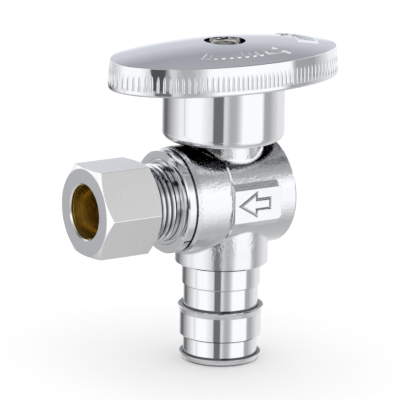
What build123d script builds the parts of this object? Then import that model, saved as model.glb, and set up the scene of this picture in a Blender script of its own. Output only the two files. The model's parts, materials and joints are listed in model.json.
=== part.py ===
from build123d import *

import os
from math import cos, pi, radians, sin, sqrt, tan

# Quarter-turn angle stop valve: ribbed inlet barb down, compression outlet towards -X, oval handle on top.
# Millimetres. The origin is the centre of the inlet mouth; +Z runs up the inlet and stem axis.
# "Out" is the distance from the stem axis along the outlet; "up" is the height above the outlet axis.

# ---------------------------------------------------------------- driving dimensions
AXIS_Z = 30.9            # height of the outlet axis above the inlet mouth
RUNNING_GAP = 0.05       # radial clearance of parts that turn or slide in one another
FIT_GAP = 0.03           # radial clearance of parts that are assembled and stay put

# compression end for 3/8 in OD tube
NUT_ACROSS_FLATS = 15.875
NUT_BACK = 17.8          # out
NUT_FACE = 29.2          # out
TUBE_SOCKET_R = 4.83
TUBE_SOCKET_END = 14.0   # out: the tube stops here
CONE_START = 21.6        # out: the ferrule cone of the connector begins
CONNECTOR_END = 23.7     # out
CONE_MOUTH_R = 6.2
THREAD_PITCH = 1.0583    # 24 threads per inch
THREAD_START = 12.6      # out: the helix of both threads begins here, so that they mesh
MALE_CREST_R = 7.10
MALE_ROOT_R = 6.45
FEMALE_ROOT_R = 7.20
FEMALE_CREST_R = 6.60

# outlet connector
FLANGE_R = 9.45
FLANGE_FACE = 13.0       # out
BODY_END = 11.08         # out: the body ends and the flange begins
SPIGOT_R = 7.95
SPIGOT_END = 7.0         # out: inner end of the connector
SHANK_END = 14.05        # out: plain shank between the flange and the thread
WATERWAY_R = 3.5

# body
BARREL_R = 9.75          # outlet side of the barrel
REAR_R = 10.2            # rear side of the barrel, front to back
REAR_FLATTEN = 0.96      # the rear side is a little lower than it is wide
STEP_OUT = 3.9           # out: plane where the two radii meet
REAR_END = -9.7          # out: closed rear end
NECK_R = 7.0             # top neck, inside the handle skirt
NECK_TOP = 17.5          # up
NECK_BLEND = 1.2         # fillet between the top neck and the barrel
LOWER_NECK_R = 8.48
LOWER_NECK_END = -12.65  # up
LOWER_BLEND = 0.6        # fillet between the lower neck and the barrel
PAD_Y = -10.25           # face of the raised pad on the front of the barrel
INLET_R = 4.95
CHAMBER_R = 6.6
STEM_BORE_R = 4.0
SHOULDER_BORE_R = 4.9
SHOULDER_BORE_TOP = 8.2  # up
RING_BORE_R = 5.25
RING_BORE_FLOOR = 15.5   # up

# valve internals
BALL_R = 6.35
SEAT_OUT = 4.3           # out: inner edge of the seat rings
STEM_R = STEM_BORE_R - RUNNING_GAP
SQUARE = 5.6             # stem square, across flats
STEM_TOP = 22.4          # up
ORING_UPS = (9.7, 12.3)  # up: the stem's O-rings

# handle
HANDLE_A = 23.15         # half length
HANDLE_B = 13.6          # half width
BAND_BOTTOM = 21.1       # up
BAND_TOP = 26.2          # up
DOME_TOP = 28.4          # up
SKIRT_R = 11.1
SKIRT_INNER_R = 9.7
SKIRT_BOTTOM = 10.5      # up
POCKET_R = 3.78          # screw pocket in the top
POCKET_FLOOR = 24.0      # up
FLUTE_COUNT = 112
FLUTE_R = 0.32
FLUTE_DEPTH = 0.26
FLUTE_BOTTOM = 22.0      # up
DRAFT_START = 22.4       # up: above it the rim leans inwards
RIM_DRAFT = 6.0          # degrees

OUTLET = Location((0, 0, AXIS_Z), (0, -90, 0))   # local +Z becomes -X: the outlet direction
UPWARD = Location((0, 0, AXIS_Z))                # local +Z is up, from the outlet axis


# ---------------------------------------------------------------- helpers
def turned(*points):
    """Solid of revolution about Z from (radius, height) points."""
    outline = Wire.make_polygon([(r, 0, z) for r, z in points], close=True)
    return revolve(Face(outline), Axis.Z)


def turned_wire(*edges):
    """Solid of revolution about Z from edges drawn in the XZ plane."""
    return revolve(Face(Wire(edges)), Axis.Z)


def rod(radius, bottom, top):
    """Cylinder on Z between two heights."""
    return Pos(0, 0, bottom) * Cylinder(radius, top - bottom, align=(Align.CENTER, Align.CENTER, Align.MIN))


def tube(inner, outer, bottom, top):
    return rod(outer, bottom, top) - rod(inner, bottom, top)


def block(x, y, z):
    """Box between pairs of limits."""
    size = (x[1] - x[0], y[1] - y[0], z[1] - z[0])
    corner = (Align.MIN, Align.MIN, Align.MIN)
    return Pos(x[0], y[0], z[0]) * Box(*size, align=corner)


def sector(inner, outer, bottom, top, start, end):
    """Part of a tube between two angles in degrees, less than half a turn apart."""
    reach = 3 * outer
    middle = (start + end) / 2
    corners = [(0, 0)] + [(reach * cos(radians(a)), reach * sin(radians(a))) for a in (start, middle, end)]
    wedge = extrude(Face(Wire.make_polygon([(x, y, bottom) for x, y in corners], close=True)), top - bottom,
                    dir=(0, 0, 1))
    return tube(inner, outer, bottom, top) & wedge


def thread_turns(first, last, inner, outer, inner_width, outer_width):
    """Single turns, numbered from THREAD_START, of a right-handed thread ridge of trapezoid section."""
    def helix(radius, shift):
        edge = Edge.make_helix(pitch=THREAD_PITCH, height=THREAD_PITCH, radius=radius)
        return edge.moved(Location((0, 0, THREAD_START + shift)))

    corners = [helix(inner, -inner_width / 2), helix(outer, -outer_width / 2),
               helix(outer, outer_width / 2), helix(inner, inner_width / 2)]
    sides = [Face.make_surface_from_curves(a, b) for a, b in zip(corners, corners[1:] + corners[:1])]
    ends = [Face(Wire.make_polygon([edge @ t for edge in corners], close=True)) for t in (0, 1)]
    turn = Solid(Shell(sides + ends))
    return [Pos(0, 0, n * THREAD_PITCH) * turn for n in range(first, last + 1)]


def save(name, part, colour):
    """Write one sub-part as a STEP file named after its node."""
    part.label = name
    part.color = Color(*colour)
    export_step(part, f"parts/{name}.step")


# ---------------------------------------------------------------- body
def outlet_side():
    """Barrel from the step to the outlet end, with a shallow bevel at the end."""
    bevel_length, bevel_drop = 0.8, 0.2
    return OUTLET * turned(
        (0, STEP_OUT - 1), (BARREL_R, STEP_OUT - 1), (BARREL_R, BODY_END - bevel_length),
        (BARREL_R - bevel_drop, BODY_END), (0, BODY_END))


def rear_side():
    """Closed rear of the barrel, a little lower than wide, with a rounded rear edge."""
    rear_round = 0.5
    step_chamfer = 0.25
    bend = rear_round * (1 - cos(pi / 4))
    half = turned_wire(
        Edge.make_line((0, 0, REAR_END), (REAR_R - rear_round, 0, REAR_END)),
        Edge.make_three_point_arc((REAR_R - rear_round, 0, REAR_END), (REAR_R - bend, 0, REAR_END + bend),
                                  (REAR_R, 0, REAR_END + rear_round)),
        Edge.make_line((REAR_R, 0, REAR_END + rear_round), (REAR_R, 0, STEP_OUT - step_chamfer)),
        Edge.make_line((REAR_R, 0, STEP_OUT - step_chamfer), (REAR_R - 0.5, 0, STEP_OUT)),
        Edge.make_line((REAR_R - 0.5, 0, STEP_OUT), (0, 0, STEP_OUT)),
        Edge.make_line((0, 0, STEP_OUT), (0, 0, REAR_END)))
    return OUTLET * scale(half, by=(REAR_FLATTEN, 1, 1))


def lower_neck():
    """Short cylinder under the barrel with a slightly rounded lower edge."""
    edge = 0.25
    return UPWARD * turned(
        (0, LOWER_NECK_END), (LOWER_NECK_R - edge, LOWER_NECK_END), (LOWER_NECK_R, LOWER_NECK_END + edge),
        (LOWER_NECK_R, 0), (0, 0))


def barb():
    """Ribbed expansion-tube barb: stop shank, sharp collar, land, waist and bottom flare."""
    return UPWARD * turned(
        (0, LOWER_NECK_END + 1), (7.16, LOWER_NECK_END + 1), (7.16, -16.5), (6.82, -16.75),
        (6.82, -20.45), (6.70, -20.5), (6.70, -20.7), (7.75, -20.7), (7.91, -20.82), (7.70, -21.25),
        (7.45, -21.9), (7.45, -26.13), (7.30, -26.28), (6.79, -26.45), (6.79, -29.35), (6.68, -29.4),
        (6.68, -29.6), (7.44, -29.6), (7.30, -29.95), (6.95, -30.5), (6.66, -AXIS_Z), (0, -AXIS_Z))


def stop_lugs():
    """Two lugs on the top neck that limit the handle to a quarter turn."""
    inner, outer = NECK_R - 0.6, 9.3
    bottom, top = 13.0, 16.0
    inner_angle, outer_angle = 56, 82
    return [UPWARD * sector(inner, outer, bottom, top, side * inner_angle, side * outer_angle)
            for side in (1, -1)]


def rounded_outline(x, z, corner, y):
    """Face parallel to XZ with rounded corners, given its limits above the outlet axis."""
    corners = [(x[0], y, z[0]), (x[1], y, z[0]), (x[1], y, z[1]), (x[0], y, z[1])]
    wire = Wire.make_polygon([(px, py, pz + AXIS_Z) for px, py, pz in corners], close=True)
    return Face(wire.fillet_2d(corner, wire.vertices()))


def front_pad():
    """Flat raised pad on the front of the barrel: sloping sides, and a square end at the step."""
    rise = 1.4
    top_run, low_run, end_run = 1.2 * rise, 1.0 * rise, 0.3 * rise
    x = (-STEP_OUT - 3, 6.1)
    z = (-3.15, 2.85)
    face = rounded_outline(x, z, 0.8, PAD_Y)
    base_x = (x[0] - end_run, x[1] + end_run)
    base_z = (z[0] - low_run, z[1] + top_run)
    square_end = block((-STEP_OUT + 0.1, 30), (-30, 0), (0, 2 * AXIS_Z))
    return loft([face, rounded_outline(base_x, base_z, 1.2, PAD_Y + rise)]) & square_end


def flow_arrow():
    """Arrow on the pad, pointing towards the outlet: its groove to cut, and the raised shape to add."""
    tip, neck, tail = -2.3, 0.6, 3.5
    half_head, half_shaft = 1.75, 0.75
    groove_depth, proud, slope = 0.22, 0.12, 45
    points = [(tip, 0), (neck, half_head), (neck, half_shaft), (tail, half_shaft),
              (tail, -half_shaft), (neck, -half_shaft), (neck, -half_head)]
    arrow = Face(Wire.make_polygon([(x, PAD_Y, z + AXIS_Z) for x, z in points], close=True))
    mouth = offset(arrow, 2 * groove_depth, kind=Kind.INTERSECTION)
    root = Pos(0, groove_depth, 0) * offset(arrow, groove_depth, kind=Kind.INTERSECTION)
    groove = extrude(mouth, groove_depth, dir=(0, 1, 0), taper=slope)
    raised = extrude(root, groove_depth + proud, dir=(0, -1, 0), taper=slope)
    return groove, raised


def blend(long_barrel, neck, radius, zone, x_limits):
    """Fillet between a neck and a long plain barrel, kept near the neck on one side of the step."""
    joined = long_barrel + neck
    neck_r = neck.bounding_box().max.X
    seam = [e for e in joined.edges() if is_seam(e, neck_r)]
    return fillet(seam, radius) & zone & block(x_limits, (-30, 30), (0, 2 * AXIS_Z))


def is_seam(edge, neck_r):
    """True for a curved edge on a neck's surface where it meets the barrel."""
    on_neck = all(abs(sqrt((edge @ t).X ** 2 + (edge @ t).Y ** 2) - neck_r) < 0.01 for t in (0.1, 0.5, 0.9))
    up = abs((edge @ 0.5).Z - AXIS_Z)
    return on_neck and 0 < up < 11 and abs((edge @ 0.1).Z - (edge @ 0.5).Z) > 0.01


def blends():
    """Fillets of both necks on both sides of the step, a hair below the barrel's own surface."""
    sink = 0.02
    plain = OUTLET * rod(BARREL_R - sink, -25, 25)
    width = 2 * (REAR_R - sink)
    oval_barrel = OUTLET * extrude(Ellipse(width / 2 * REAR_FLATTEN, width / 2), 25, both=True)
    top = UPWARD * rod(NECK_R, 0, NECK_TOP)
    low = UPWARD * rod(LOWER_NECK_R, LOWER_NECK_END + 0.3, 0)
    top_zone = UPWARD * rod(NECK_R + NECK_BLEND + 0.05, 0, NECK_TOP)
    low_zone = UPWARD * rod(LOWER_NECK_R + LOWER_BLEND + 0.05, LOWER_NECK_END + 0.3, 0)
    sides = ((plain, (-30, -STEP_OUT)), (oval_barrel, (-STEP_OUT, 30)))
    return [blend(barrel, neck, radius, zone, limits)
            for barrel, limits in sides
            for neck, radius, zone in ((top, NECK_BLEND, top_zone), (low, LOWER_BLEND, low_zone))]


def valve_body():
    shell = outlet_side() + rear_side()
    for piece in blends():
        shell += piece
    groove, arrow = flow_arrow()
    shell = shell + lower_neck() + barb() + stop_lugs() + front_pad() - groove + arrow
    bores = [
        UPWARD * turned((0, -AXIS_Z - 1), (INLET_R, -AXIS_Z - 1), (INLET_R, -12.0), (3.9, -10.6),
                        (3.9, 0), (0, 0)),
        OUTLET * rod(CHAMBER_R, -SPIGOT_END, SPIGOT_END + 0.1),
        OUTLET * rod(SPIGOT_R + FIT_GAP, SPIGOT_END, BODY_END + 1),
        UPWARD * rod(STEM_BORE_R, 0, NECK_TOP + 1),
        UPWARD * rod(SHOULDER_BORE_R, 0, SHOULDER_BORE_TOP),
        UPWARD * rod(RING_BORE_R, RING_BORE_FLOOR, NECK_TOP + 1),
    ]
    for bore in bores:
        shell = shell - bore
    return shell


# ---------------------------------------------------------------- outlet
def outlet_connector():
    """Flanged outlet end: spigot, O-ring groove, thread, ferrule cone and tube socket."""
    groove_low, groove_high, groove_r = 8.9, 10.3, 6.75
    shank_r, boss_r, boss_height = 7.0, 7.8, 0.3
    relief_r, relief_width = 8.9, 0.32
    flange_edge = 0.25
    outline = turned(
        (WATERWAY_R, SPIGOT_END), (SPIGOT_R - 0.3, SPIGOT_END), (SPIGOT_R, SPIGOT_END + 0.3),
        (SPIGOT_R, groove_low), (groove_r, groove_low), (groove_r, groove_high), (SPIGOT_R, groove_high),
        (SPIGOT_R, BODY_END), (relief_r, BODY_END), (relief_r, BODY_END + relief_width),
        (FLANGE_R - 0.1, BODY_END + relief_width), (FLANGE_R, BODY_END + relief_width + 0.1),
        (FLANGE_R, FLANGE_FACE - flange_edge), (FLANGE_R - flange_edge, FLANGE_FACE), (boss_r, FLANGE_FACE),
        (boss_r - 0.12, FLANGE_FACE + boss_height), (shank_r, FLANGE_FACE + boss_height),
        (shank_r, SHANK_END), (MALE_ROOT_R, SHANK_END + 0.2), (MALE_ROOT_R, CONNECTOR_END),
        (CONE_MOUTH_R, CONNECTOR_END), (TUBE_SOCKET_R, CONE_START), (TUBE_SOCKET_R, TUBE_SOCKET_END),
        (WATERWAY_R, TUBE_SOCKET_END))
    lead = 0.7
    envelope = turned(
        (MALE_ROOT_R - 0.2, SHANK_END), (MALE_CREST_R + 0.1, SHANK_END),
        (MALE_CREST_R + 0.1, CONNECTOR_END - lead), (MALE_ROOT_R, CONNECTOR_END),
        (MALE_ROOT_R - 0.2, CONNECTOR_END))
    for turn in thread_turns(1, 10, MALE_ROOT_R - 0.05, MALE_CREST_R, 0.90, 0.16):
        outline += turn & envelope
    return OUTLET * outline


def compression_nut():
    """Hexagonal nut with both faces chamfered, internal thread, ferrule chamber and tube hole."""
    corner_r = NUT_ACROSS_FLATS / sqrt(3)
    corners = [(corner_r * cos(radians(a)), corner_r * sin(radians(a)), NUT_BACK) for a in range(30, 390, 60)]
    blank = extrude(Face(Wire.make_polygon(corners, close=True)), NUT_FACE - NUT_BACK, dir=(0, 0, 1))
    edge_round = 0.12
    blank = fillet(blank.edges().filter_by(Axis.Z), edge_round)
    face_r = 7.8
    chamfer_length = 0.81
    envelope = turned((0, NUT_BACK), (face_r, NUT_BACK), (corner_r + 0.01, NUT_BACK + chamfer_length),
                      (corner_r + 0.01, NUT_FACE - chamfer_length), (face_r, NUT_FACE), (0, NUT_FACE))
    hole_r, rim_r = 4.95, 5.22
    chamber_r, chamber_out, thread_out = 5.65, 27.3, 25.4
    bore = turned(
        (0, NUT_BACK - 1), (FEMALE_ROOT_R + 0.15, NUT_BACK - 1), (FEMALE_ROOT_R + 0.15, NUT_BACK),
        (FEMALE_CREST_R, NUT_BACK + 0.7), (FEMALE_CREST_R, thread_out), (chamber_r, thread_out + 0.3),
        (chamber_r, chamber_out), (hole_r, 28.5), (hole_r, NUT_FACE - 0.3), (rim_r, NUT_FACE),
        (rim_r, NUT_FACE + 1), (0, NUT_FACE + 1))
    shape = (blank & envelope) - bore
    for turn in thread_turns(4, 11, FEMALE_CREST_R - 0.1, FEMALE_ROOT_R, 1.00, 0.26):
        shape -= turn
    return OUTLET * shape


def compression_ferrule():
    """Brass sleeve with a long taper at each end."""
    inner, tip, outer = 4.88, 5.05, 5.45
    return OUTLET * turned(
        (inner, 22.0), (tip, 22.0), (outer, 24.0), (outer, 26.9), (tip, 28.25), (inner, 28.25))


def o_ring(centre_r, section_r, height):
    return Pos(0, 0, height) * Torus(centre_r, section_r)


# ---------------------------------------------------------------- valve internals
def seat():
    """PTFE ring with a spherical face towards the ball, on the outlet side of the centre."""
    ring = tube(3.6, CHAMBER_R - 0.1, SEAT_OUT, SPIGOT_END - 0.02)
    return ring - Sphere(BALL_R + RUNNING_GAP)


def ball():
    """L-port ball: open below and towards the outlet, slotted on top for the stem's tang."""
    port_r = WATERWAY_R
    slot = block((-1.35, 1.35), (-BALL_R, BALL_R), (4.3, BALL_R + 1))
    drilled = Sphere(BALL_R) - rod(port_r, -BALL_R - 1, 0) - Rot(0, -90, 0) * rod(port_r, 0, BALL_R + 1)
    return UPWARD * (drilled - Sphere(port_r) - slot)


def stem():
    """Blow-out-proof stem: tang, shoulder, two seal grooves, square and tapped top."""
    shoulder_r, shoulder_low, shoulder_top = 4.8, 6.5, 7.45
    groove_r, half_groove = 2.5, 0.85
    outline = [(0, shoulder_low), (shoulder_r, shoulder_low), (shoulder_r, shoulder_top),
               (STEM_R, shoulder_top)]
    for up in ORING_UPS:
        outline += [(STEM_R, up - half_groove), (groove_r, up - half_groove),
                    (groove_r, up + half_groove), (STEM_R, up + half_groove)]
    outline += [(STEM_R, NECK_TOP + 0.1), (0, NECK_TOP + 0.1)]
    half = SQUARE / 2
    square = block((-half, half), (-half, half), (NECK_TOP, STEM_TOP)) & rod(STEM_R, NECK_TOP, STEM_TOP)
    tang = block((-1.25, 1.25), (-4.0, 4.0), (4.45, shoulder_low + 0.1)) & rod(shoulder_r - 0.3, 4, 7)
    tapped = rod(2.0, 14.2, STEM_TOP + 1)
    return UPWARD * (turned(*outline) + square + tang - tapped)


# ---------------------------------------------------------------- handle
def oval(half_length, half_width, bottom, top):
    """Elliptical prism."""
    return extrude(Pos(0, 0, bottom) * Ellipse(half_length, half_width), top - bottom)


def rim():
    """Oval prism whose upper part leans inwards."""
    top = DOME_TOP + 1
    lean = (top - DRAFT_START) * tan(radians(RIM_DRAFT))
    leaning = loft([Pos(0, 0, DRAFT_START) * Ellipse(HANDLE_A, HANDLE_B),
                    Pos(0, 0, top) * Ellipse(HANDLE_A - lean, HANDLE_B - lean)])
    return oval(HANDLE_A, HANDLE_B, BAND_BOTTOM, DRAFT_START) + leaning


def dome(crown, edge):
    """Round-topped blank over the oval: highest on the axis, lower at the rim."""
    reach = 1.06
    half_width = HANDLE_B * reach
    drop = (crown - edge) * reach ** 2
    profile = turned_wire(
        Edge.make_line((0, 0, BAND_BOTTOM - 1), (half_width, 0, BAND_BOTTOM - 1)),
        Edge.make_line((half_width, 0, BAND_BOTTOM - 1), (half_width, 0, crown - drop)),
        Edge.make_three_point_arc((half_width, 0, crown - drop), (half_width / 2, 0, crown - drop / 4),
                                  (0, 0, crown)),
        Edge.make_line((0, 0, crown), (0, 0, BAND_BOTTOM - 1)))
    return scale(profile, by=(HANDLE_A / HANDLE_B, 1, 1))


def rim_point(angle, inset):
    """Point inside the rim by a distance along its normal, at an ellipse angle in radians."""
    normal = Vector(HANDLE_B * cos(angle), HANDLE_A * sin(angle)).normalized()
    return Vector(HANDLE_A * cos(angle), HANDLE_B * sin(angle)) - normal * inset


def flute_angles():
    """Ellipse angles of the flutes, which are a little closer together on the long sides than at the ends."""
    steps = 7200
    by_length = 0.56
    mean_speed = sqrt((HANDLE_A ** 2 + HANDLE_B ** 2) / 2)
    places = [0.0]
    for i in range(steps):
        middle = 2 * pi * (i + 0.5) / steps
        speed = sqrt((HANDLE_A * sin(middle)) ** 2 + (HANDLE_B * cos(middle)) ** 2)
        reach = (HANDLE_A * cos(middle)) ** 2 + (HANDLE_B * sin(middle)) ** 2
        by_angle = HANDLE_A * HANDLE_B / reach
        places.append(places[-1] + by_length * speed / mean_speed + (1 - by_length) * by_angle)
    angles = []
    i = 0
    for k in range(FLUTE_COUNT):
        while places[i + 1] < places[-1] * k / FLUTE_COUNT:
            i += 1
        angles.append(2 * pi * i / steps)
    return angles


def flute_cutters():
    """Upright round flutes around the rim, which run out where the rim leans away from them."""
    flute = rod(FLUTE_R, FLUTE_BOTTOM, BAND_TOP)
    return [Pos(rim_point(angle, FLUTE_DEPTH - FLUTE_R)) * flute for angle in flute_angles()]


def raised_marks():
    """Marks on the dome: a scale of bars and a curved arrow in front, and a scale at the far end."""
    proud = 0.22

    def spot(angle, ring):
        return ring * HANDLE_A * cos(radians(angle)), ring * HANDLE_B * sin(radians(angle))

    def bar(angle, width, inner, outer):
        return [spot(angle, inner), spot(angle + width, inner), spot(angle + width, outer), spot(angle, outer)]

    shapes = [bar(-128 + 5.2 * i, 2.2, 0.58 if i % 3 == 0 else 0.63, 0.75) for i in range(9)]
    shapes += [bar(-23 + 7 * i, 2.8, 0.64 if i % 2 == 0 else 0.69, 0.82) for i in range(8)]
    inner, outer, middle = 0.66, 0.73, 0.695
    start, neck, tip = -79, -66, -57
    steps = 4
    sweep = [start + (neck - start) * i / steps for i in range(steps + 1)]
    arrow = [spot(a, outer) for a in sweep] + [spot(neck, outer + 0.08), spot(tip, middle),
                                               spot(neck, inner - 0.08)]
    shapes.append(arrow + [spot(a, inner) for a in reversed(sweep)])
    prisms = [extrude(Face(Wire.make_polygon([(x, y, BAND_TOP - 2) for x, y in shape], close=True)), 6,
                      dir=(0, 0, 1)) for shape in shapes]
    raised = dome(DOME_TOP + proud, BAND_TOP + proud)
    return [prism & raised for prism in prisms]


def skirt(top):
    """Round skirt with a rounded lower edge, up into the handle."""
    edge = 1.0
    rise = 1.4
    bend = (SKIRT_R - edge * (1 - sin(pi / 4)), 0, SKIRT_BOTTOM + rise * (1 - cos(pi / 4)))
    return turned_wire(
        Edge.make_line((SKIRT_INNER_R, 0, SKIRT_BOTTOM + 0.2), (SKIRT_INNER_R + 0.2, 0, SKIRT_BOTTOM)),
        Edge.make_line((SKIRT_INNER_R + 0.2, 0, SKIRT_BOTTOM), (SKIRT_R - edge, 0, SKIRT_BOTTOM)),
        Edge.make_three_point_arc((SKIRT_R - edge, 0, SKIRT_BOTTOM), bend, (SKIRT_R, 0, SKIRT_BOTTOM + rise)),
        Edge.make_line((SKIRT_R, 0, SKIRT_BOTTOM + rise), (SKIRT_R, 0, top)),
        Edge.make_line((SKIRT_R, 0, top), (SKIRT_INNER_R, 0, top)),
        Edge.make_line((SKIRT_INNER_R, 0, top), (SKIRT_INNER_R, 0, SKIRT_BOTTOM + 0.2)))


def handle():
    """Oval cast handle: hollow below, round skirt, hub with a square socket and one inner stop rib."""
    wall = 1.8
    hollow_top = 23.6
    blank = rim() & dome(DOME_TOP, BAND_TOP)
    lower_edges = [e for e in blank.edges() if e.bounding_box().max.Z < BAND_BOTTOM + 0.01]
    blank = fillet(lower_edges, 0.4)
    upper_edges = [e for e in blank.edges() if BAND_TOP - 0.2 < (e @ 0.5).Z < BAND_TOP + 0.3]
    blank = fillet(upper_edges, 0.15)
    blank -= oval(HANDLE_A - wall, HANDLE_B - wall, BAND_BOTTOM - 1, hollow_top)
    inside = hollow_top + 0.5
    hub_r, hub_bottom, web_bottom = 5.2, 17.8, 22.6
    rib = sector(7.35, SKIRT_INNER_R + 0.3, 12.4, 22.0, 35, 55)
    half = SQUARE / 2 + 0.05
    shape = blank + skirt(inside) + rod(hub_r, hub_bottom, inside) + rib
    shape -= block((-half, half), (-half, half), (hub_bottom - 1, web_bottom))
    shape -= rod(2.2, web_bottom - 1, DOME_TOP + 1)
    shape -= rod(POCKET_R, POCKET_FLOOR, DOME_TOP + 1)
    shape -= flute_cutters()
    for mark in raised_marks():
        shape += mark
    return UPWARD * shape


def handle_screw():
    """Pan-head screw with a cross recess."""
    head_r, head_low, head_top = 3.0, POCKET_FLOOR + 0.9, 27.1
    shank_r, shank_end = 1.94, 15.0
    profile = turned_wire(
        Edge.make_line((0, 0, shank_end), (shank_r - 0.5, 0, shank_end)),
        Edge.make_line((shank_r - 0.5, 0, shank_end), (shank_r, 0, shank_end + 0.5)),
        Edge.make_line((shank_r, 0, shank_end + 0.5), (shank_r, 0, head_low)),
        Edge.make_line((shank_r, 0, head_low), (head_r, 0, head_low)),
        Edge.make_line((head_r, 0, head_low), (head_r, 0, head_low + 1.0)),
        Edge.make_three_point_arc((head_r, 0, head_low + 1.0), (head_r - 0.45, 0, head_low + 1.78),
                                  (head_r - 1.3, 0, head_top)),
        Edge.make_line((head_r - 1.3, 0, head_top), (0, 0, head_top)),
        Edge.make_line((0, 0, head_top), (0, 0, shank_end)))
    arm, width, depth = 1.7, 0.75, 1.4
    recess = block((-arm, arm), (-width / 2, width / 2), (head_top - depth, head_top + 1))
    for turn in (25, 115):
        profile -= Rot(0, 0, turn) * recess
    return UPWARD * profile


def screw_lock_washer():
    """Split spring washer with a narrow slanted gap."""
    inner, outer, thick = 2.15, 3.3, 0.86
    low = POCKET_FLOOR + 0.02
    ring = tube(inner, outer, low, low + thick)
    gap = Rot(0, 25, 0) * block((-0.15, 0.15), (1.5, 4.5), (-2, 2))
    return UPWARD * (ring - Pos(0, 0, low + thick / 2) * gap)


# ---------------------------------------------------------------- assembly
CHROME = (0.78, 0.79, 0.80)
BRASS = (0.80, 0.64, 0.32)
STEEL = (0.62, 0.62, 0.60)
PTFE = (0.93, 0.93, 0.90)
RUBBER = (0.06, 0.06, 0.06)

os.makedirs("parts", exist_ok=True)
save("valve_body", valve_body(), CHROME)
save("outlet_connector", outlet_connector(), CHROME)
save("connector_oring", OUTLET * o_ring(7.37, 0.6, 9.6), RUBBER)
save("outlet_seat", OUTLET * seat(), PTFE)
save("rear_seat", OUTLET * Rot(0, 180, 0) * seat(), PTFE)
save("ball", ball(), CHROME)
save("stem", stem(), BRASS)
save("stem_thrust_washer", UPWARD * tube(STEM_R + RUNNING_GAP, 4.8, 7.5, SHOULDER_BORE_TOP - 0.02), PTFE)
save("stem_oring_lower", UPWARD * o_ring(3.24, 0.72, ORING_UPS[0]), RUBBER)
save("stem_oring_upper", UPWARD * o_ring(3.24, 0.72, ORING_UPS[1]), RUBBER)
friction_ring = tube(STEM_R + RUNNING_GAP, RING_BORE_R - FIT_GAP, RING_BORE_FLOOR + 0.02, 17.2)
save("stem_friction_ring", UPWARD * friction_ring, PTFE)
save("compression_nut", compression_nut(), CHROME)
save("compression_ferrule", compression_ferrule(), BRASS)
save("handle", handle(), CHROME)
save("handle_screw", handle_screw(), STEEL)
save("screw_lock_washer", screw_lock_washer(), STEEL)
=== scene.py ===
import json
from math import cos, pi, radians, sin

import bpy
from mathutils import Matrix, Vector


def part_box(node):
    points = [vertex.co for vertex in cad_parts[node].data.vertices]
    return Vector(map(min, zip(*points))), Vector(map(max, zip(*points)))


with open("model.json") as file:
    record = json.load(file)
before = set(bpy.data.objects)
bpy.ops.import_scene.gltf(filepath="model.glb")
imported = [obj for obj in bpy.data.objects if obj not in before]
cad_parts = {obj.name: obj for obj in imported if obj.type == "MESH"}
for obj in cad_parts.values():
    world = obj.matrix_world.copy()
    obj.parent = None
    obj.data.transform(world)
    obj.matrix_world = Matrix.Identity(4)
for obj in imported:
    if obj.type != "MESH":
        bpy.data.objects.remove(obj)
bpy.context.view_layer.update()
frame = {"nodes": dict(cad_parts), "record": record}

MM = 0.001
mounts = {m["name"]: m for m in frame["record"]["mounts"]}
AXIS_Z = mounts["outlet_tube"]["pos_m"][2]          # height of the outlet axis
BARB_TOP_Z = AXIS_Z - 12.45 * MM                    # the machined barb begins below the lower neck
THREAD_START_X = -14.0 * MM
THREAD_CREST_R, THREAD_ROOT_R = 7.0 * MM, 6.6 * MM
STEP_X = -4.0 * MM                                  # beside the step in the barrel
SEAM_X = -11.0 * MM                                 # beside the seam between body and connector
NECK_FOOT_Z = AXIS_Z + 6.0 * MM                     # the top neck leaves the barrel above this
SKIN_FADE_Z = (AXIS_Z - 8.0 * MM, AXIS_Z - 10.5 * MM)   # the forged skin gets smoother down the lower neck



# ---------------------------------------------------------------- node helpers
class Graph:
    """Small wrapper that makes nodes and links in one call."""

    def __init__(self, tree):
        self.tree = tree
        self.tree.nodes.clear()

    def node(self, kind, inputs=None, **settings):
        made = self.tree.nodes.new(kind)
        for key, value in settings.items():
            setattr(made, key, value)
        for key, value in (inputs or {}).items():
            if isinstance(value, bpy.types.NodeSocket):
                self.tree.links.new(value, made.inputs[key])
            else:
                made.inputs[key].default_value = value
        return made

    def math(self, operation, a, b=None):
        inputs = {0: a} if b is None else {0: a, 1: b}
        return self.node("ShaderNodeMath", inputs, operation=operation).outputs[0]

    def remap(self, value, low, high, to_low=0.0, to_high=1.0, smooth=True):
        inputs = {"Value": value, "From Min": low, "From Max": high, "To Min": to_low, "To Max": to_high}
        kind = "SMOOTHSTEP" if smooth else "LINEAR"
        return self.node("ShaderNodeMapRange", inputs, interpolation_type=kind).outputs["Result"]

    def noise(self, position, scale, detail=3.0, roughness=0.55):
        inputs = {"Vector": position, "Scale": scale, "Detail": detail, "Roughness": roughness}
        return self.node("ShaderNodeTexNoise", inputs).outputs["Fac"]

    def mix_colour(self, factor, a, b):
        made = self.node("ShaderNodeMix", {"Factor": factor}, data_type="RGBA")
        for socket, value in ((made.inputs[6], a), (made.inputs[7], b)):
            if isinstance(value, bpy.types.NodeSocket):
                self.tree.links.new(value, socket)
            else:
                socket.default_value = value
        return made.outputs[2]

    def bump(self, height, strength, distance, normal=None):
        inputs = {"Height": height, "Strength": strength, "Distance": distance}
        if normal is not None:
            inputs["Normal"] = normal
        return self.node("ShaderNodeBump", inputs).outputs["Normal"]


def new_material(name):
    material = bpy.data.materials.new(name)
    material.use_nodes = True
    return material, Graph(material.node_tree)


def surface(graph, base, roughness, normal, metallic=1.0, **constants):
    """Principled surface at the end of a graph; constants go straight to the shader's sockets."""
    shader = graph.node("ShaderNodeBsdfPrincipled", {"Base Color": base, "Roughness": roughness})
    shader.inputs["Metallic"].default_value = metallic
    for key, value in constants.items():
        shader.inputs[key.replace("_", " ")].default_value = value
    if normal is not None:
        graph.tree.links.new(normal, shader.inputs["Normal"])
    output = graph.node("ShaderNodeOutputMaterial")
    graph.tree.links.new(shader.outputs[0], output.inputs["Surface"])


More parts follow.
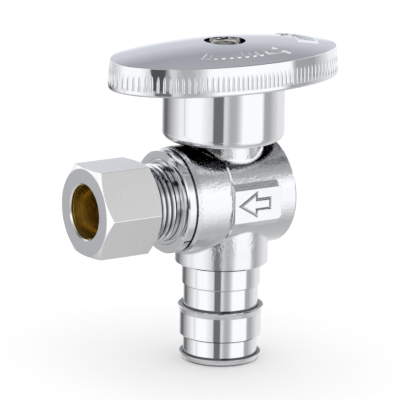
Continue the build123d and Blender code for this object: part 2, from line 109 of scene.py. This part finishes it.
def object_position(graph):
    return graph.node("ShaderNodeTexCoord").outputs["Object"]


def axis_parts(graph, position):
    split = graph.node("ShaderNodeSeparateXYZ", {0: position})
    return split.outputs[0], split.outputs[1], split.outputs[2]


def radius_about_outlet(graph, position):
    """Distance from the outlet axis."""
    x, y, z = axis_parts(graph, position)
    up = graph.math("SUBTRACT", z, AXIS_Z)
    squares = graph.math("ADD", graph.math("MULTIPLY", y, y), graph.math("MULTIPLY", up, up))
    return graph.math("SQRT", squares)


# ---------------------------------------------------------------- materials
CHROME_LIGHT = (0.84, 0.85, 0.87, 1)
CHROME_DEEP = (0.76, 0.77, 0.80, 1)
BRASS_LIGHT = (1.0, 0.82, 0.36, 1)
BRASS_DEEP = (0.92, 0.70, 0.24, 1)
# painted shade: this near-black is mixed into the chrome's colour in creases and thread roots, where shade
# falls
PAINTED_SHADE_COLOUR = (0.05, 0.05, 0.05, 1)
# painted shade: the near-black painted under the handle's skirt and on the side of the neck
SKIRT_SHADE_COLOUR = (0.06, 0.06, 0.055, 1)
# how far ambient occlusion looks for the creases that get painted shade
CREASE_SHADE_REACH = 0.35 * MM
TURNED_CREASE_SHADE, FORGED_CREASE_SHADE = 0.9, 0.5                 # how much of the painted crease shade shows in a crease


def plated_chrome(name, ripple=0.05):
    """Bright plated chrome on a polished surface: faint ripple, and roughness that wanders a little."""
    material, g = new_material(name)
    position = object_position(g)
    cloud = g.noise(position, 90.0)
    base = g.mix_colour(cloud, CHROME_LIGHT, CHROME_DEEP)
    roughness = g.remap(g.noise(position, 350.0), 0.3, 0.7, 0.03, 0.075)
    normal = g.bump(g.noise(position, 220.0, 1.0), ripple, 0.05 * MM)
    surface(g, base, roughness, normal)
    return material


def tool_lines(graph, coordinate, scale):
    """Fine lines across one axis, as a cutting tool leaves them."""
    return graph.noise(graph.node("ShaderNodeCombineXYZ", {0: coordinate}).outputs[0], scale, 2.0, 0.6)


def outlet_finish(name, bare_within, line_scale, roughness_range, light=CHROME_LIGHT, deep=CHROME_DEEP,
                  line_depth=0.08, painted_shade_end_x=None, threaded=False):
    """Chrome over a machined surface, with bare brass in the bore nearer to the outlet axis than a radius.
    The end face, at a place along X when one is given, is painted a little darker: painted shade."""
    material, g = new_material(name)
    position = object_position(g)
    x = axis_parts(g, position)[0]
    radius = radius_about_outlet(g, position)
    edge = 0.02 * MM
    bare = g.remap(radius, bare_within + edge, bare_within - edge)
    lines = tool_lines(g, x, line_scale)
    chrome = g.mix_colour(g.noise(position, 120.0), light, deep)
    # painted shade: the end face gets the deeper chrome colour
    if painted_shade_end_x is not None:
        at_end = g.remap(x, painted_shade_end_x + 3 * edge, painted_shade_end_x + edge)
        chrome = g.mix_colour(at_end, chrome, CHROME_DEEP)
    # painted shade: creases, and the thread roots on a threaded part, are painted darker
    painted_shade_mix = painted_crease_shade(g, TURNED_CREASE_SHADE)
    if threaded:
        # painted shade: the thread roots are painted darker as well
        painted_shade_mix = g.math("MAXIMUM", painted_shade_mix, painted_thread_root_shade(g, x, radius))
    chrome = g.mix_colour(painted_shade_mix, chrome, PAINTED_SHADE_COLOUR)
    brass = g.mix_colour(g.noise(position, 300.0), BRASS_LIGHT, BRASS_DEEP)
    base = g.mix_colour(bare, chrome, brass)
    chrome_roughness = g.remap(lines, 0.3, 0.7, *roughness_range)
    brass_roughness = 0.20
    roughness = g.remap(bare, 0.0, 1.0, chrome_roughness, brass_roughness)
    surface(g, base, roughness, g.bump(lines, line_depth, 0.02 * MM))
    return material


def painted_crease_shade(graph, most):
    """Mask of painted shade where a surface turns inwards, near the corner: ambient occlusion darkens the
    colour there.
    """
    inputs = {"Distance": CREASE_SHADE_REACH}
    openness = graph.node("ShaderNodeAmbientOcclusion", inputs, samples=6).outputs["AO"]
    clean_above, full_below = 0.92, 0.48
    return graph.remap(openness, clean_above, full_below, 0.0, most)


def painted_skirt_shade(graph, x, z):
    """Mask of painted shade under the handle's skirt: what the skirt shuts off from the light is painted
    nearly black.

    That is surfaces that face up, and the side of the neck between the step and the seam."""
    reach = {"Distance": 9.0 * MM}
    openness = graph.node("ShaderNodeAmbientOcclusion", reach, samples=8).outputs["AO"]
    normal = graph.node("ShaderNodeNewGeometry").outputs["Normal"]
    facing_up = graph.remap(axis_parts(graph, normal)[2], 0.45, 0.75)
    before_step = graph.remap(x, STEP_X + 0.2 * MM, STEP_X - 0.2 * MM)
    behind_seam = graph.remap(x, SEAM_X + 0.1 * MM, SEAM_X + 0.4 * MM)
    above_foot = graph.remap(z, NECK_FOOT_Z - 0.5 * MM, NECK_FOOT_Z + 0.5 * MM)
    neck_side = graph.math("MULTIPLY", graph.math("MULTIPLY", before_step, behind_seam), above_foot)
    light_above, dark_below = 0.78, 0.50
    shut_off = graph.remap(openness, light_above, dark_below)
    return graph.math("MULTIPLY", shut_off, graph.math("MAXIMUM", facing_up, neck_side))


def painted_thread_root_shade(graph, x, radius):
    """Painted shade in the roots of the thread: the roots are painted darker."""
    root = graph.remap(radius, THREAD_CREST_R, THREAD_ROOT_R, 0.0, 0.7)
    return graph.math("MULTIPLY", root, graph.remap(x, THREAD_START_X, THREAD_START_X - 0.2 * MM))


def body_chrome():
    """Plated forging: peened skin on the barrel and necks, and a smooth turned barb."""
    material, g = new_material("body_chrome_finish")
    position = object_position(g)
    x, _, z = axis_parts(g, position)
    forged = g.remap(z, BARB_TOP_Z, BARB_TOP_Z + 0.4 * MM)
    lower_neck_skin = 0.35
    skin = g.remap(z, *SKIN_FADE_Z, 1.0, lower_neck_skin)
    dimples = g.noise(position, 2200.0, 2.0, 0.6)
    waves = g.noise(position, 520.0, 1.0, 0.4)
    height = g.math("ADD", dimples, g.math("MULTIPLY", waves, 0.7))
    turned = g.bump(tool_lines(g, z, 4200.0), 0.06, 0.02 * MM)
    peened = g.math("MULTIPLY", height, g.math("MULTIPLY", forged, skin))
    normal = g.bump(peened, 0.6, 0.09 * MM, turned)
    chrome = g.mix_colour(g.noise(position, 100.0), CHROME_LIGHT, CHROME_DEEP)
    # painted shade: what lies under the handle's skirt is painted nearly black
    shaded = g.mix_colour(painted_skirt_shade(g, x, z), chrome, SKIRT_SHADE_COLOUR)
    # painted shade: creases are painted darker, less on the forged skin than on the turned barb
    most = g.remap(forged, 0.0, 1.0, TURNED_CREASE_SHADE, FORGED_CREASE_SHADE)
    base = g.mix_colour(painted_crease_shade(g, most), shaded, PAINTED_SHADE_COLOUR)
    barb_roughness, barrel_roughness, lower_neck_roughness = 0.05, 0.12, 0.19
    forged_roughness = g.remap(skin, 1.0, lower_neck_skin, barrel_roughness, lower_neck_roughness)
    roughness = g.remap(forged, 0.0, 1.0, barb_roughness, forged_roughness)
    surface(g, base, roughness, normal)
    return material


def turned_brass(name, axis):
    """Bare brass with fine turning lines and a little tarnish."""
    material, g = new_material(name)
    position = object_position(g)
    lines = tool_lines(g, axis_parts(g, position)[axis], 6000.0)
    tarnish = g.remap(g.noise(position, 260.0, 4.0), 0.40, 0.72)
    base = g.mix_colour(tarnish, BRASS_LIGHT, BRASS_DEEP)
    roughness = g.remap(lines, 0.3, 0.7, 0.16, 0.30)
    surface(g, base, roughness, g.bump(lines, 0.25, 0.02 * MM))
    return material


def plastic(name, light, deep, rough_low, rough_high, grain):
    """Plain engineering plastic or rubber with a fine moulded grain."""
    material, g = new_material(name)
    position = object_position(g)
    speckle = g.noise(position, grain, 4.0)
    base = g.mix_colour(g.noise(position, 400.0), light, deep)
    roughness = g.remap(speckle, 0.3, 0.7, rough_low, rough_high)
    surface(g, base, roughness, g.bump(speckle, 0.2, 0.01 * MM), metallic=0.0)
    return material


def steel(name, light, deep):
    """Plated steel with fine scratches along one direction."""
    material, g = new_material(name)
    position = object_position(g)
    stretched = g.node("ShaderNodeMapping", {"Vector": position, "Scale": (1, 14, 1)}).outputs[0]
    scratches = g.noise(stretched, 900.0)
    base = g.mix_colour(g.noise(position, 700.0, 4.0), light, deep)
    roughness = g.remap(scratches, 0.3, 0.7, 0.14, 0.30)
    surface(g, base, roughness, g.bump(scratches, 0.2, 0.02 * MM))
    return material


def dress(node, material):
    """Give a CAD node its finish."""
    mesh = frame["nodes"][node].data
    mesh.materials.clear()
    mesh.materials.append(material)


ptfe = plastic("ptfe_finish", (0.90, 0.90, 0.87, 1), (0.82, 0.82, 0.79, 1), 0.35, 0.5, 2500.0)
acetal = plastic("acetal_finish", (0.86, 0.84, 0.76, 1), (0.80, 0.78, 0.70, 1), 0.3, 0.42, 2500.0)
rubber = plastic("rubber_finish", (0.025, 0.025, 0.027, 1), (0.05, 0.05, 0.05, 1), 0.45, 0.65, 3500.0)

CONNECTOR_BORE_R, NUT_BORE_R = 5.75 * MM, 4.98 * MM     # bare brass nearer to the outlet axis than this
dress("valve_body", body_chrome())
dress("outlet_connector", outlet_finish("connector_finish", CONNECTOR_BORE_R, 5000.0, (0.05, 0.10),
                                        threaded=True))
dress("compression_nut", outlet_finish("nut_chrome_finish", NUT_BORE_R, 4500.0, (0.25, 0.31),
                                       (0.98, 0.98, 0.98, 1), (0.95, 0.95, 0.955, 1), line_depth=0.035,
                                       painted_shade_end_x=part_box("compression_nut")[0][0]))
dress("compression_ferrule", turned_brass("ferrule_brass_finish", 0))
dress("handle", plated_chrome("handle_chrome_finish"))
dress("handle_screw", steel("screw_nickel_finish", (0.66, 0.64, 0.58, 1), (0.50, 0.48, 0.43, 1)))
dress("screw_lock_washer", steel("washer_zinc_finish", (0.55, 0.56, 0.58, 1), (0.42, 0.43, 0.45, 1)))
dress("ball", plated_chrome("ball_chrome_finish", ripple=0.02))
dress("stem", turned_brass("stem_brass_finish", 2))
for seal in ("connector_oring", "stem_oring_lower", "stem_oring_upper"):
    dress(seal, rubber)
for ring in ("outlet_seat", "rear_seat", "stem_thrust_washer"):
    dress(ring, ptfe)
dress("stem_friction_ring", acetal)


# ---------------------------------------------------------------- studio
VIEW_AZIMUTH = radians(-32.702)
VIEW_ELEVATION = radians(13.935)


def grey(level, tint=(1.0, 1.0, 1.0)):
    """Scene-linear colour of a grey level from 0 to 255."""
    share = level / 255
    linear = share / 12.92 if share <= 0.04045 else ((share + 0.055) / 1.055) ** 2.4
    return tuple(linear * t for t in tint) + (1.0,)


def seen_in_chrome(level, tint=(1.0, 1.0, 1.0)):
    """Colour that shows at a grey level when polished chrome reflects it once."""
    plating = 0.82
    return tuple(channel / plating for channel in grey(level, tint)[:3]) + (1.0,)


def ramp(graph, factor, stops):
    """Colour ramp from (position, colour) stops."""
    made = graph.node("ShaderNodeValToRGB", {"Fac": factor})
    elements = made.color_ramp.elements
    while len(elements) > 1:
        elements.remove(elements[-1])
    elements[0].position, elements[0].color = stops[0]
    for position, colour in stops[1:]:
        elements.new(position).color = colour
    return made.outputs["Color"]


def round_share(degrees_from_camera):
    """Place on the full circle, 0 to 1, of an azimuth counted from the camera's direction."""
    return 0.5 + degrees_from_camera / 360


def height_share(elevation):
    """Place from the nadir, 0, to the zenith, 1, of an elevation in degrees."""
    return 0.5 + elevation / 180


# The studio is a white tent with grey cards in it, which only polished chrome sees. A card has limits in
# degrees (outer, inner, inner, outer: its edges are soft) and the grey level at which chrome shows it.
# Azimuths count from the camera and grow to the right, so 180 is behind the valve. Later cards cover
# earlier ones. LOW_CARDS stand below the horizon, HIGH_CARDS at it, and PANELS hang where they say.
TENT_WHITE = 252
LOW_BAND = (-70, -20, -10.5, -8)
HIGH_BAND = (-10.5, -8, 4, 12)
LOW_CARDS = [((90, 115, 195, 215), 224),            # back of the tent
             ((-172, -146, -134, -80), 104),        # dark card behind on the left
             ((-92, -84, -77, -66), 238),           # seam between two cloths on the left,
             ((-80, -79, -78, -77), 196),           # and the gap in it
             ((-44, -20, 20, 36), 213),             # shade round the camera
             ((-20.5, -18, -1, 2), 108),            # dark card left of the camera
             ((6, 13, 22, 38), 173),                # grey card right of the camera
             ((77, 84, 97, 125), 167)]              # grey card on the right
HIGH_CARDS = [((105, 120, 255, 285), 237),          # the same cards in the same order, without the seam
              ((-170, -130, -120, -85), 205),
              ((-40, -27, 18, 32), 213),
              ((-27, -25, -7, 0), 80),
              ((1, 10, 18, 31), 174),
              ((83, 87, 104, 128), 161)]
PANELS = [((0, 6, 26, 34), (4, 9, 62, 80), 165),
          ((-34, -28, -6, 4), (40, 47, 66, 76), 40),
          ((92, 102, 142, 154), (42, 50, 62, 70), 55),
          ((-124, -116, -76, -68), (32, 40, 60, 68), 60)]
# (elevation, level): how the whole tent darkens towards the ground and the ceiling.
SHADE = [(-56, 188), (-17, 255), (21, 255), (36, 174), (48, 154)]
# The back wall is a little blue, and gets darker with height.
BACK_WALL = [(0, 228), (6, 205), (16, 200), (30, 160), (45, 170)]
BACK_WALL_TINT = (0.96, 0.98, 1.05)
ROOM_LIGHT = 1.15                                   # the even white that everything but chrome sees


def studio_light():
    """Soft white tent all round. Chrome sees it with darker slots; everything else sees it evenly white."""
    world = bpy.data.worlds.new("studio")
    bpy.context.scene.world = world
    world.use_nodes = True
    g = Graph(world.node_tree)
    direction = g.node("ShaderNodeTexCoord").outputs["Generated"]
    x, y, z = axis_parts(g, direction)
    camera_angle = VIEW_AZIMUTH - pi / 2
    turn = g.math("SUBTRACT", g.math("ARCTAN2", y, x), camera_angle)
    share = g.math("FRACT", g.math("ADD", g.math("DIVIDE", turn, 2 * pi), 1.5))
    height = g.math("ADD", g.math("DIVIDE", g.math("ARCSINE", z), pi), 0.5)

    def window(factor, places):
        """Soft-edged window that is open between the two inner places."""
        return ramp(g, factor, [(at, (v, v, v, 1)) for at, v in zip(places, (0.0, 1.0, 1.0, 0.0))])

    def window_round(azimuths):
        """Window in azimuth. The circle is cut at its first edge, so it may pass 180 degrees."""
        from_edge = g.math("FRACT", g.math("ADD", share, 1 - round_share(azimuths[0])))
        return window(from_edge, [(at - azimuths[0]) / 360 for at in azimuths])

    def window_up(elevations):
        return window(height, [height_share(at) for at in elevations])

    def ring(cards):
        """The tent going round at one height."""
        shown = seen_in_chrome(TENT_WHITE)
        for azimuths, level in cards:
            shown = g.mix_colour(window_round(azimuths), shown, seen_in_chrome(level))
        return shown

    tent = g.mix_colour(window_up(LOW_BAND), seen_in_chrome(255), ring(LOW_CARDS))
    tent = g.mix_colour(window_up(HIGH_BAND), tent, ring(HIGH_CARDS))
    product = g.node("ShaderNodeMix", {"Factor": 1.0}, data_type="RGBA", blend_type="MULTIPLY")
    g.tree.links.new(tent, product.inputs[6])
    g.tree.links.new(ramp(g, height, [(height_share(at), grey(level)) for at, level in SHADE]),
                     product.inputs[7])
    tent = product.outputs[2]
    for azimuths, elevations, level in PANELS:
        panel = g.math("MULTIPLY", window_round(azimuths), window_up(elevations))
        tent = g.mix_colour(panel, tent, seen_in_chrome(level))

    wall_stops = [(height_share(at), seen_in_chrome(level, BACK_WALL_TINT)) for at, level in BACK_WALL]
    behind = window_round((150, 165, 195, 210))
    above = g.remap(height, height_share(-8), height_share(2), smooth=False)
    tent = g.mix_colour(g.math("MULTIPLY", behind, above), tent, ramp(g, height, wall_stops))

    in_chrome = g.node("ShaderNodeLightPath").outputs["Is Glossy Ray"]
    shown = g.mix_colour(in_chrome, (1, 1, 1, 1), tent)
    background = g.node("ShaderNodeBackground", {"Color": shown, "Strength": 1.0})
    strength = g.node("ShaderNodeMapRange", {"Value": in_chrome, "To Min": ROOM_LIGHT}).outputs[0]
    g.tree.links.new(strength, background.inputs["Strength"])
    output = g.node("ShaderNodeOutputWorld")
    g.tree.links.new(background.outputs[0], output.inputs["Surface"])


def floor():
    """Large pale sheet that shows a soft shadow and stays out of the chrome's reflections."""
    half = 6.0
    mesh = bpy.data.meshes.new("floor")
    corners = [(-half, -half, 0), (half, -half, 0), (half, half, 0), (-half, half, 0)]
    mesh.from_pydata(corners, [], [(0, 1, 2, 3)])
    plane = bpy.data.objects.new("floor", mesh)
    bpy.context.scene.collection.objects.link(plane)
    material, g = new_material("floor_paper")
    position = object_position(g)
    base = g.mix_colour(g.noise(position, 60.0), (0.93, 0.93, 0.93, 1), (0.95, 0.95, 0.95, 1))
    roughness = g.remap(g.noise(position, 200.0), 0.3, 0.7, 0.7, 0.8)
    surface(g, base, roughness, None, metallic=0.0, Specular_IOR_Level=0.0)
    mesh.materials.append(material)
    plane.visible_glossy = False


def camera():
    """Long lens from the left front, a little above the outlet axis."""
    distance, roll = 0.65463, radians(0.844)
    lens, sensor = 323.88, 36.0
    aim_right, aim_up = -4.016 * MM, -1.349 * MM
    back = Vector((sin(VIEW_AZIMUTH) * cos(VIEW_ELEVATION), -cos(VIEW_AZIMUTH) * cos(VIEW_ELEVATION),
                   sin(VIEW_ELEVATION)))
    right = Vector((cos(VIEW_AZIMUTH), sin(VIEW_AZIMUTH), 0))
    up = back.cross(right)
    target = Vector((0, 0, AXIS_Z + aim_up)) + right * aim_right
    turned_right = right * cos(roll) + up * sin(roll)
    turned_up = up * cos(roll) - right * sin(roll)
    eye = target + back * distance
    data = bpy.data.cameras.new("camera")
    data.lens, data.sensor_width = lens, sensor
    data.clip_start, data.clip_end = 0.05, 20.0
    made = bpy.data.objects.new("camera", data)
    rotation = Matrix((turned_right, turned_up, back)).transposed().to_4x4()
    made.matrix_world = Matrix.Translation(eye) @ rotation
    bpy.context.scene.collection.objects.link(made)
    bpy.context.scene.camera = made


studio_light()
floor()
camera()
bpy.context.scene.view_settings.view_transform = "Standard"
